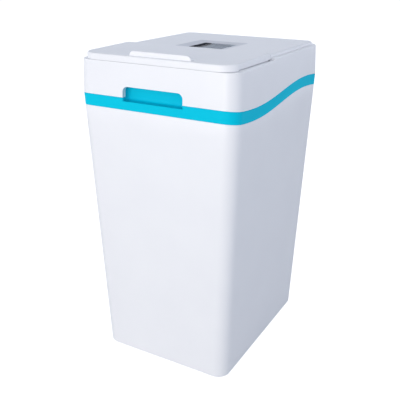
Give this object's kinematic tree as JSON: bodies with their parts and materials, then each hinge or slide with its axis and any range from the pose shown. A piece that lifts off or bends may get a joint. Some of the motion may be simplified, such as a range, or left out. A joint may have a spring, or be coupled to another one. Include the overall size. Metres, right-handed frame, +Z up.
{
  "type": "water softener",
  "caption": "Cabinet water softener: tapered white salt tank with a wavy blue band, lift-off cover and hinged salt lid, holding a resin vessel with a motor-driven valve and a brine well.",
  "frame": {"origin": "centre of the base, on the floor", "axes": "+Z up, the front with the finger pocket faces -Y, +X to the right seen from the front"},
  "size_m": [0.344, 0.4424, 0.659],
  "materials": {
    "white_abs": "moulded white ABS, satin gloss",
    "blue_trim": "moulded cyan ABS, satin gloss",
    "pale_grey_abs": "fine textured pale grey ABS",
    "white_panel": "moulded white ABS",
    "natural_plastic": "natural moulded polypropylene",
    "clear_tube": "translucent polyethylene tube",
    "black_plastic": "black glass-filled plastic",
    "grey_plastic": "grey moulded plastic",
    "key_rubber": "matt key caps",
    "rubber": "black nitrile rubber",
    "steel": "stainless steel",
    "fibreglass": "wound glass fibre, blue gel coat",
    "resin_beads": "amber ion-exchange beads",
    "ceramic": "lapped alumina ceramic",
    "turbine_blue": "moulded blue plastic",
    "circuit_board": "green solder mask",
    "lcd": "grey liquid-crystal display",
    "lens": "clear acrylic lens",
    "check_ball": "moulded plastic ball"
  },
  "bodies": {
    "cabinet": {"brine_tank": "white_abs", "trim_band": "blue_trim", "pocket_liner": "blue_trim", "rear_panel": "white_panel", "panel_screws": "steel", "power_socket": "black_plastic", "overflow_spigot": "white_panel", "overflow_nut": "white_panel", "overflow_gasket": "rubber", "vessel_foot": "black_plastic", "resin_vessel": "fibreglass", "resin_bed": "resin_beads", "riser_tube": "natural_plastic", "bottom_strainer": "natural_plastic", "top_strainer": "natural_plastic", "valve_body": "black_plastic", "valve_top_plate": "grey_plastic", "neck_seal": "rubber", "inlet_connector": "natural_plastic", "outlet_connector": "natural_plastic", "connector_clips": "steel", "connector_seals": "rubber", "turbine_cage": "natural_plastic", "injector_cap": "grey_plastic", "injector_screws": "steel", "drain_spigot": "natural_plastic", "brine_fitting": "natural_plastic", "brine_line": "clear_tube", "fixed_disc": "ceramic", "drive_motor": "steel", "motor_bracket": "grey_plastic", "controller_housing": "pale_grey_abs", "housing_screws": "steel", "control_board": "circuit_board", "lcd_module": "lcd", "display_lens": "lens", "keypad_frame": "black_plastic", "brine_well": "natural_plastic", "brine_valve": "black_plastic", "pickup_tube": "natural_plastic", "air_check_cage": "natural_plastic"},
    "cover": {"top_cover": "white_abs", "window_bezel": "pale_grey_abs", "lid_hinge_pins": "steel"},
    "lid": {"salt_lid": "white_abs", "lid_bumpers": "rubber"},
    "disc_rotor": {"main_gear": "natural_plastic", "disc_shaft": "steel", "moving_disc": "ceramic"},
    "pinion": {"motor_pinion": "natural_plastic"},
    "turbine": {"flow_turbine": "turbine_blue"},
    "float": {"brine_float": "natural_plastic", "float_rod": "steel"},
    "well_cap": {"well_cap": "natural_plastic"},
    "check_ball": {"air_check_ball": "check_ball"},
    "menu_key": {"key_menu": "key_rubber"},
    "up_key": {"key_up": "key_rubber"},
    "down_key": {"key_down": "key_rubber"},
    "set_key": {"key_set": "key_rubber"}
  },
  "joints": [
    {"name": "cover_lift", "type": "slide", "parent": "cabinet", "child": "cover", "axis": [0, 0, 1], "range_m": [0, 0.15]},
    {"name": "lid_hinge", "type": "hinge", "parent": "cover", "child": "lid", "pos_m": [0, -0.056, 0.6415], "axis": [-1, 0, 0], "range_deg": [0, 95]},
    {"name": "disc_turn", "type": "hinge", "parent": "cabinet", "child": "disc_rotor", "pos_m": [0, 0.0803, 0.556], "axis": [0, 0, 1], "continuous": true},
    {"name": "pinion_turn", "type": "hinge", "parent": "cabinet", "child": "pinion", "pos_m": [0, 0.04155, 0.556], "axis": [0, 0, 1], "continuous": true},
    {"name": "turbine_spin", "type": "hinge", "parent": "cabinet", "child": "turbine", "pos_m": [0.035, 0.1105, 0.489], "axis": [0, 1, 0], "continuous": true},
    {"name": "float_rise", "type": "slide", "parent": "cabinet", "child": "float", "axis": [0, 0, 1], "range_m": [0, 0.025]},
    {"name": "well_cap_lift", "type": "slide", "parent": "cabinet", "child": "well_cap", "axis": [0, 0, 1], "range_m": [0, 0.06]},
    {"name": "ball_rise", "type": "slide", "parent": "cabinet", "child": "check_ball", "axis": [0, 0, 1], "range_m": [0, 0.008]},
    {"name": "menu_press", "type": "slide", "parent": "cabinet", "child": "menu_key", "axis": [0, 0, -1], "range_m": [0, 0.001], "stiffness_N_per_m": 400},
    {"name": "up_press", "type": "slide", "parent": "cabinet", "child": "up_key", "axis": [0, 0, -1], "range_m": [0, 0.001], "stiffness_N_per_m": 400},
    {"name": "down_press", "type": "slide", "parent": "cabinet", "child": "down_key", "axis": [0, 0, -1], "range_m": [0, 0.001], "stiffness_N_per_m": 400},
    {"name": "set_press", "type": "slide", "parent": "cabinet", "child": "set_key", "axis": [0, 0, -1], "range_m": [0, 0.001], "stiffness_N_per_m": 400}
  ],
  "couplings": [
    {"joint": "pinion_turn", "follows": "disc_turn", "ratio": -3.4286}
  ]
}
